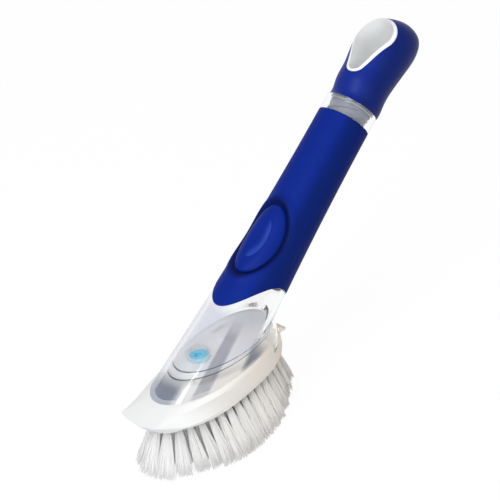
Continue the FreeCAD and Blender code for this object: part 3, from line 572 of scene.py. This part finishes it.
# %% [markdown]
# ### Small pieces
# The valve and the seal are silicone, the tank's floor is frosted, the valve's ring is clear, and the
# tufts' anchors are drawn wire. They differ in colour and in how much light they let through, so one
# cloudy recipe of two colours does for all of them but the wire.

# %% Silicone, frosted floor, clear ring and wire
WIRE_DARK, WIRE_BRIGHT = "A9A59C", "CFCBC2"
RING_IOR = 1.3


def cloudy(pale, deep, rough=0.35, spread=0.1, scale=200.0):
    """Two colours in soft clouds, a little duller where it is paler."""
    def recipe(flow):
        cloud = noise(flow, scale)
        return {
            "Base Color": mixed(flow, cloud, deep, pale),
            "Roughness": rough + spread * cloud,
        }
    return recipe


valve_blue = finish_of("valve_blue", cloudy("66CCEA", "48BBDD"))
seal_grey = finish_of("seal_grey", cloudy("A4A9AF", "8F959C"), Transmission_Weight=0.3)
frosted = finish_of("frosted", cloudy("FAFBFF", "F1F3FB"), Transmission_Weight=0.7, IOR=CLEAR_IOR)
let_light_in(frosted)
clear_ring = finish_of("clear_ring", cloudy("FAFBFC", "F3F5F7"), Transmission_Weight=0.95, IOR=RING_IOR)
let_light_in(clear_ring)
drawn = cloudy(WIRE_BRIGHT, WIRE_DARK, rough=0.25, spread=0.2, scale=800.0)
wire = finish_of("wire", drawn, Metallic=1.0)
print("finishes", [material.name for material in bpy.data.materials])

# %% [markdown]
# ## The solids that stay
# The tank, its floor, the valve, the cap and the head are right as solids. They only need their finish
# and soft shading. Their triangles don't share corners, so a Weld modifier joins them and an Edge Split
# keeps the real edges crisp, and the solids themselves stay as they came. Two of them have a second
# finish on some faces: the tank is white where it stands on the head, and its floor has its rim.

# %% Shade and paint the solids
WELD = 0.000001
CRISP = math.radians(32)
FACING_DOWN = -0.9
NEARLY_FLAT = 0.97
SEAT_NEAR = 0.5

FINISHES = {
    "tank_shell": clear_plastic,
    "foot_plate": frosted,
    "valve_retainer": clear_ring,
    "outlet_valve": valve_blue,
    "cap_skin": blue_cap,
    "cap_core": lining_white,
    "cap_seal": seal_grey,
    "head_carrier": white_plastic,
    "latch_arm": white_plastic,
    "tuft_block": white_plastic,
    "tuft_anchors": wire,
}


def on_seat(face):
    """Faces of the tank that stand on the head."""
    return face.normal.z < FACING_DOWN and abs(face.center.z - SEAT.z) < SEAT_NEAR * MM


def on_rim(face):
    """Upright and sloping faces round the tank's floor."""
    return abs(face.normal.z) < NEARLY_FLAT and face.center.z > SEAT.z + PLATE_LOW * MM


# finishes of single faces, where a solid has a second one
FACE_FINISHES = {
    "tank_shell": (white_plastic, on_seat),
    "foot_plate": (floor_rim, on_rim),
}


def paint(node, material):
    """Gives a solid its finish, and soft shading with crisp edges."""
    solid = nodes[node]
    solid.data.materials.clear()
    solid.data.materials.append(material)
    second, belongs = FACE_FINISHES.get(node, (None, None))
    if second:
        solid.data.materials.append(second)
    for face in solid.data.polygons:
        face.material_index = 1 if second and belongs(face) else 0
        face.use_smooth = True
    weld = solid.modifiers.new("join", "WELD")
    weld.merge_threshold = WELD
    split = solid.modifiers.new("crisp", "EDGE_SPLIT")
    split.split_angle = CRISP


for node, material in FINISHES.items():
    paint(node, material)
print("painted", len(FINISHES), "solids,", len(FACE_FINISHES), "with a second finish")

# %% [markdown]
# ## Skins round the handle
# The grip and the button are drawn as rings of points round the handle and round the button. First
# come the grip's radius along the handle and the helpers that turn rings into a mesh.

# %% Radius of the grip
GRIP_START, GRIP_START_RADIUS = 26.0, 18.5
WAIST, WAIST_RADIUS = 103.0, 15.3
NECK, NECK_RADIUS = 146.6, 14.75


def grip_radius(along):
    """Radius of the grip: a parabola through its tongue, waist and neck."""
    known = ((GRIP_START, GRIP_START_RADIUS), (WAIST, WAIST_RADIUS), (NECK, NECK_RADIUS))
    total = 0.0
    for place, radius in known:
        others = [other for other, _ in known if other != place]
        total += radius * math.prod((along - other) / (place - other) for other in others)
    return total


print("grip radius at the button", round(grip_radius(BUTTON), 2))


# %% Skins from rings of points
def piece_of(name, points, faces, material):
    """A smoothly shaded piece in the scene."""
    mesh = bpy.data.meshes.new(name)
    mesh.from_pydata([tuple(p) for p in points], [], faces)
    mesh.update()
    piece = put(name, mesh)
    mesh.materials.append(material)
    for face in mesh.polygons:
        face.use_smooth = True
    return piece


def ring_faces(rows, columns, first=0, closed_rows=False):
    """Quads between rings that follow each other; each ring is closed."""
    faces = []
    for row in range(rows if closed_rows else rows - 1):
        following = (row + 1) % rows
        for column in range(columns):
            beside = (column + 1) % columns
            faces.append((first + row * columns + column, first + row * columns + beside,
                          first + following * columns + beside, first + following * columns + column))
    return faces


def end_faces(rows, columns, first=0):
    """Flat faces that close the first and the last ring."""
    last = first + (rows - 1) * columns
    return [tuple(reversed(range(first, first + columns))), tuple(range(last, last + columns))]


def skin(name, rings, material, closed_rows=False, ends=False):
    """A mesh through rings of points, with flat ends where asked."""
    columns = len(rings[0])
    points = [point for ring in rings for point in ring]
    faces = ring_faces(len(rings), columns, closed_rows=closed_rows)
    if ends:
        faces += end_faces(len(rings), columns)
    return piece_of(name, points, faces, material)


def full_turn(steps):
    """Angles round a circle."""
    return [2 * math.pi * step / steps for step in range(steps)]


def smooth_step(low, high, value):
    """Soft step of a number, from 0 to 1."""
    share = min(max((value - low) / (high - low), 0.0), 1.0)
    return share * share * (3 - 2 * share)


# %% [markdown]
# ## Grip sleeve
# The sleeve is a soft skin moulded round the tank. Its lower edge sweeps down into a tongue on the
# thumb side, and round the button it has a groove and a low ridge. A cylinder with a bump map would
# look flat at the edges, so the skin is a fine grid that follows the handle, with the relief as real
# height, and a Boolean cuts the oval hole for the button.

# %% Relief round the button
RING_WIDTH = 2.0
RIDGE_WIDTH = 3.4
GROOVE_DEPTH = 2.1
RIDGE_RISE = 0.5
# distances outside the pad: the groove's flat floor, where its wall ends, and where the ridge begins
GROOVE_FLAT = 0.5
GROOVE_END = RING_WIDTH + 0.6
RIDGE_FOOT = 0.8
RIDGE_CREST = RING_WIDTH + 0.45 * RIDGE_WIDTH
LEAST_REACH = 0.05


def oval_gap(along, across, long_half, wide_half):
    """Distance outside an oval round the button, negative inside, right near its edge."""
    lengthwise = (along - BUTTON) / long_half
    crosswise = across / wide_half
    reach = max(math.hypot(lengthwise, crosswise), LEAST_REACH)
    slope = math.hypot(lengthwise / long_half, crosswise / wide_half) / reach
    return (reach - 1.0) / slope


def relief(gap):
    """Height over the plain grip at a distance outside the pad: a groove, then a low ridge."""
    groove = -GROOVE_DEPTH * (1.0 - smooth_step(GROOVE_FLAT, GROOVE_END, gap))
    falling = 1.0 - smooth_step(RIDGE_CREST, RIDGE_CREST + RIDGE_WIDTH, gap)
    return groove + RIDGE_RISE * (smooth_step(RIDGE_FOOT, RIDGE_CREST, gap) * falling)


print("relief in the groove", round(relief(0.0), 2), "and on the ridge", round(relief(RIDGE_CREST), 2))

# %% Lower edge of the sleeve
WAVE_TOP = 50.5
WAVE_SIDE = 3.0
EDGE_TRIES = 6


def wave_edge(under):
    """Lower edge of the sleeve, along the handle."""
    if under >= WAVE_SIDE:
        return WAVE_TOP
    share = (under + GRIP_START_RADIUS) / (WAVE_SIDE + GRIP_START_RADIUS)
    return WAVE_TOP - (WAVE_TOP - GRIP_START) * (1.0 - max(share, 0.0)) ** 2


def edge_under(angle):
    """How far under the axis the lower edge lies at an angle, where the radius depends on the edge."""
    radius = GRIP_START_RADIUS
    for _ in range(EDGE_TRIES):
        under = -radius * math.cos(angle)
        radius = grip_radius(wave_edge(under))
    return -radius * math.cos(angle)


print("sleeve starts", round(wave_edge(edge_under(0.0)), 1), "to", WAVE_TOP, "mm from the seat")

# %% Sleeve grid
SKIN = 1.1
EDGE_ROUND = 0.45
EDGE_CLEAR = 0.05
TURN_STEPS = 216
EVEN_SHARE = 0.45
LENGTH_STEPS = 260
INSIDE_STRIDE = 2
ROUND_STEPS = 4
RELIEF_REACH = 1.5


def turn_at(step):
    """Angles round the handle, closer together at the thumb side."""
    share = 2.0 * step / TURN_STEPS - 1.0
    return math.pi * (EVEN_SHARE * share + (1.0 - EVEN_SHARE) * share ** 3)


def sleeve_rings():
    """Rings up the outside with its relief, over the rounded edges, and back down the inside."""
    turns = [turn_at(step) for step in range(TURN_STEPS)]
    lows = [wave_edge(edge_under(angle)) + EDGE_CLEAR for angle in turns]
    high = NECK - EDGE_CLEAR

    def ring(share, sink, shift):
        row = []
        for angle, low in zip(turns, lows):
            along = low + share * (high - low) + shift
            base = grip_radius(along)
            across = base * math.sin(angle)
            height = 0.0
            if abs(angle) < RELIEF_REACH:
                height = relief(oval_gap(along, across, PAD_LONG, PAD_WIDE))
            radius = base + (height if sink == 0 else min(height, 0.0)) - sink
            row.append(at(-radius * math.cos(angle), radius * math.sin(angle), along))
        return row

    def rounded(share, angle, way):
        return ring(share, EDGE_ROUND * (1 - math.sin(angle)), way * EDGE_ROUND * (1 - math.cos(angle)))

    shares = [step / LENGTH_STEPS for step in range(LENGTH_STEPS + 1)]
    quarter = [math.pi / 2 * step / ROUND_STEPS for step in range(ROUND_STEPS)]
    rings = [rounded(0, angle, 1) for angle in quarter]
    rings += [ring(share, 0, EDGE_ROUND * (1 - 2 * share)) for share in shares]
    rings += [rounded(1, angle, -1) for angle in reversed(quarter)]
    rings += [ring(share, SKIN, 0) for share in shares[::-INSIDE_STRIDE]]
    return rings


sleeve = skin("grip_sleeve_soft", sleeve_rings(), soft_grip, closed_rows=True)
print("sleeve", len(sleeve.data.vertices), "points")

# %% Oval hole for the button
PAD_CLEAR = 0.12
OVAL_STEPS = 128
CUT_FROM, CUT_TO = -2.0, -24.0
SLEEVE_CRISP = math.radians(50)


def oval(long_half, wide_half):
    """Places along and across the handle on an oval round the button's middle."""
    return [(BUTTON + long_half * math.cos(angle), wide_half * math.sin(angle))
            for angle in full_turn(OVAL_STEPS)]


def cut(piece, cutter):
    """Takes the cutter out of a piece, and then the cutter itself out of the scene."""
    tool = piece.modifiers.new("cut", "BOOLEAN")
    tool.object = cutter
    tool.operation = "DIFFERENCE"
    tool.solver = "EXACT"
    graph = bpy.context.evaluated_depsgraph_get()
    made = bpy.data.meshes.new_from_object(piece.evaluated_get(graph))
    piece.modifiers.remove(tool)
    piece.data = made
    bpy.data.objects.remove(cutter)


hole = oval(PAD_LONG + PAD_CLEAR, PAD_WIDE + PAD_CLEAR)
hole_rings = [[at(under, across, along) for along, across in hole] for under in (CUT_FROM, CUT_TO)]
cut(sleeve, skin("button_cutter", hole_rings, soft_grip, ends=True))
sleeve.data.set_sharp_from_angle(angle=SLEEVE_CRISP)
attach(sleeve, "wand")
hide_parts("grip_sleeve", "button_bellows")
print("sleeve with hole", len(sleeve.data.vertices), "points")

# %% [markdown]
# ## Thumb button
# The pad is an oval of the same soft stuff that sinks when it is pressed. Its rim rolls over into the
# groove, and its middle is dished for the thumb. Rings of ovals, each at its own depth, draw it from
# the middle of the dish out over the rim, down its wall, out along a thin flange that closes the gap
# under the sleeve, and back underneath.

# %% Button pad
PAD_SINK = 0.1
PAD_WALL = 3.4
PAD_FLANGE = 0.8
PAD_INSET = 1.0
PAD_CRISP = math.radians(26)
FLANGE_THICK = 0.4
DISH_DEPTH = 1.5
DISH_STEPS = 14
DISH_RIM = 0.4
ROLL_DROP = 1.8
ROLL_POWER = 3.2
ROLL_STEPS = 12


def oval_ring(long_half, wide_half, depth):
    """An oval laid on the grip, straight down from its surface by a depth."""
    ring = []
    for along, across in oval(long_half, wide_half):
        height = math.sqrt(grip_radius(along) ** 2 - across ** 2)
        ring.append(at(depth - height, across, along))
    return ring


def pad_rings():
    """Rings from the middle of the dish over the rim to the underside."""
    rings = []
    for step in range(1, DISH_STEPS + 1):
        share = step / DISH_STEPS
        depth = PAD_SINK + DISH_DEPTH * (1.0 - share ** 2)
        rings.append(oval_ring(DISH_LONG * share, DISH_WIDE * share, depth))
    start_long, start_wide = DISH_LONG + DISH_RIM, DISH_WIDE + DISH_RIM
    for step in range(1, ROLL_STEPS + 1):
        share = step / ROLL_STEPS
        drop = ROLL_DROP * (1.0 - math.sqrt(1.0 - share ** ROLL_POWER))
        rings.append(oval_ring(start_long + (PAD_LONG - start_long) * share,
                               start_wide + (PAD_WIDE - start_wide) * share, PAD_SINK + drop))
    low = PAD_SINK + PAD_WALL
    under = low + FLANGE_THICK
    for wider, depth in ((0.0, low), (PAD_FLANGE, low), (PAD_FLANGE, under), (-PAD_INSET, under)):
        rings.append(oval_ring(PAD_LONG + wider, PAD_WIDE + wider, depth))
    return rings


pad = skin("button_pad_soft", list(reversed(pad_rings())), thumb_soft, ends=True)
pad.data.set_sharp_from_angle(angle=PAD_CRISP)
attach(pad, "button")
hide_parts("button_pad")
print("pad", len(pad.data.vertices), "points")

# %% [markdown]
# ## Bristles
# Each tuft of the solid head is a plain tapered prism. The real tuft is a folded bundle of thin nylon
# filaments, wired into its hole, which fans out and is trimmed a little unevenly. Hair particles would
# be lost in an export, so each filament is a thin tapered tube from the tuft's root to its tip. Sizes
# here are in metres, as the solids are.

# %% Roots and tips of the tufts
TUFT_NODES = ["tufts_nose", "tufts_left", "tufts_right", "tufts_rear", "tufts_second_left",
              "tufts_second_right", "tufts_inner", "tufts_centre"]
BLOCK_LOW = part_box("tuft_block")[0].z
ROOT_BAND, TIP_BAND = 0.0016, 0.0022


def islands(node):
    """Groups of corner points, one for each loose solid in a node, always in the same order."""
    shape = bmesh.new()
    shape.from_mesh(nodes[node].data)
    bmesh.ops.remove_doubles(shape, verts=shape.verts, dist=WELD)
    shape.verts.index_update()
    reached = set()
    groups = []
    for first in shape.verts:
        if first.index in reached:
            continue
        reached.add(first.index)
        stack = [first]
        group = []
        while stack:
            corner = stack.pop()
            group.append(corner.co.copy())
            for edge in corner.link_edges:
                other = edge.other_vert(corner)
                if other.index not in reached:
                    reached.add(other.index)
                    stack.append(other)
        groups.append(group)
    shape.free()
    return groups


def middle_of(points):
    return sum(points, Vector()) / len(points)


def tuft_line(points):
    """Root on the block's face, tip, and the radius at the tip, of one tuft prism."""
    top = max(p.z for p in points)
    low = min(p.z for p in points)
    upper = [p for p in points if p.z > top - ROOT_BAND]
    lower = [p for p in points if p.z < low + TIP_BAND]
    start, tip = middle_of(upper), middle_of(lower)
    share = (start.z - BLOCK_LOW) / (start.z - tip.z)
    root = start.lerp(tip, share)
    radius = max((p - tip).length for p in lower)
    return root, tip, radius


TUFT_LINES = {node: [tuft_line(group) for group in islands(node)] for node in TUFT_NODES}
print("tufts", sum(len(lines) for lines in TUFT_LINES.values()))

# %% One filament
FILAMENT_SIDES = 5
FILAMENT_RADIUS = 0.0002
FILAMENT_SHARES = (0.0, 0.35, 0.7, 1.0)
TIP_TAPER = 0.7
# a direction that no filament takes
ASKEW = Vector((0.91, 0.17, 0.31))


def filament_rings(root, tip, bend):
    """Rings of a thin tube from root to tip that bows a little on its way."""
    along = (tip - root).normalized()
    side = along.cross(ASKEW).normalized()
    front = along.cross(side)
    rings = []
    for share in FILAMENT_SHARES:
        middle = root.lerp(tip, share) + bend * (share * (1 - share))
        radius = FILAMENT_RADIUS * (1.0 if share < 1 else TIP_TAPER)
        rings.append([middle + (side * math.cos(angle) + front * math.sin(angle)) * radius
                      for angle in full_turn(FILAMENT_SIDES)])
    return rings


# %% One tuft
FILAMENTS = 104
FAN_ALONG_ROW = 2.15
FAN_OUTWARDS = 1.15
FAN_SPREAD = (0.8, 1.0)
NEARLY_UP = Vector((0.001, 0, 1))
ROOT_RADIUS = 0.00125
ROOT_SINK = 0.0012
UNEVEN = 0.0016
BOW = (-0.0006, 0.0010)
STRAY_TURN = 0.4
SUNFLOWER = math.pi * (3 - math.sqrt(5))


def tuft_filaments(line, draw, points, faces):
    """Adds one tuft's filaments, spread evenly as a sunflower's seeds are."""
    root, tip, tip_radius = line
    along = (tip - root).normalized()
    side = along.cross(NEARLY_UP).normalized()
    front = along.cross(side)
    for k in range(FILAMENTS):
        reach = math.sqrt((k + 0.5) / FILAMENTS)
        angle = k * SUNFLOWER + draw.uniform(-STRAY_TURN, STRAY_TURN)
        out = side * math.cos(angle) + front * math.sin(angle)
        foot = root - along * ROOT_SINK + out * reach * ROOT_RADIUS
        fan = side * (FAN_ALONG_ROW * math.cos(angle)) + front * (FAN_OUTWARDS * math.sin(angle))
        length = -abs(draw.gauss(0, UNEVEN))
        end = tip + fan * tip_radius * reach * draw.uniform(*FAN_SPREAD) + along * length
        end.z = max(end.z, FILAMENT_RADIUS)
        rings = filament_rings(foot, end, out * draw.uniform(*BOW))
        first = len(points)
        points.extend(p for ring in rings for p in ring)
        faces.extend(ring_faces(len(rings), FILAMENT_SIDES, first))
        faces.extend(end_faces(len(rings), FILAMENT_SIDES, first))


# %% All the bristles
FIRST_SEED = 100

for number, node in enumerate(TUFT_NODES):
    draw = random.Random(FIRST_SEED + number)
    points, faces = [], []
    for line in TUFT_LINES[node]:
        tuft_filaments(line, draw, points, faces)
    bundle = piece_of(node.replace("tufts", "bristles"), points, faces, bristle)
    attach(bundle, "head")
    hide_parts(node)
    print(bundle.name, len(TUFT_LINES[node]), "tufts", len(points), "points")
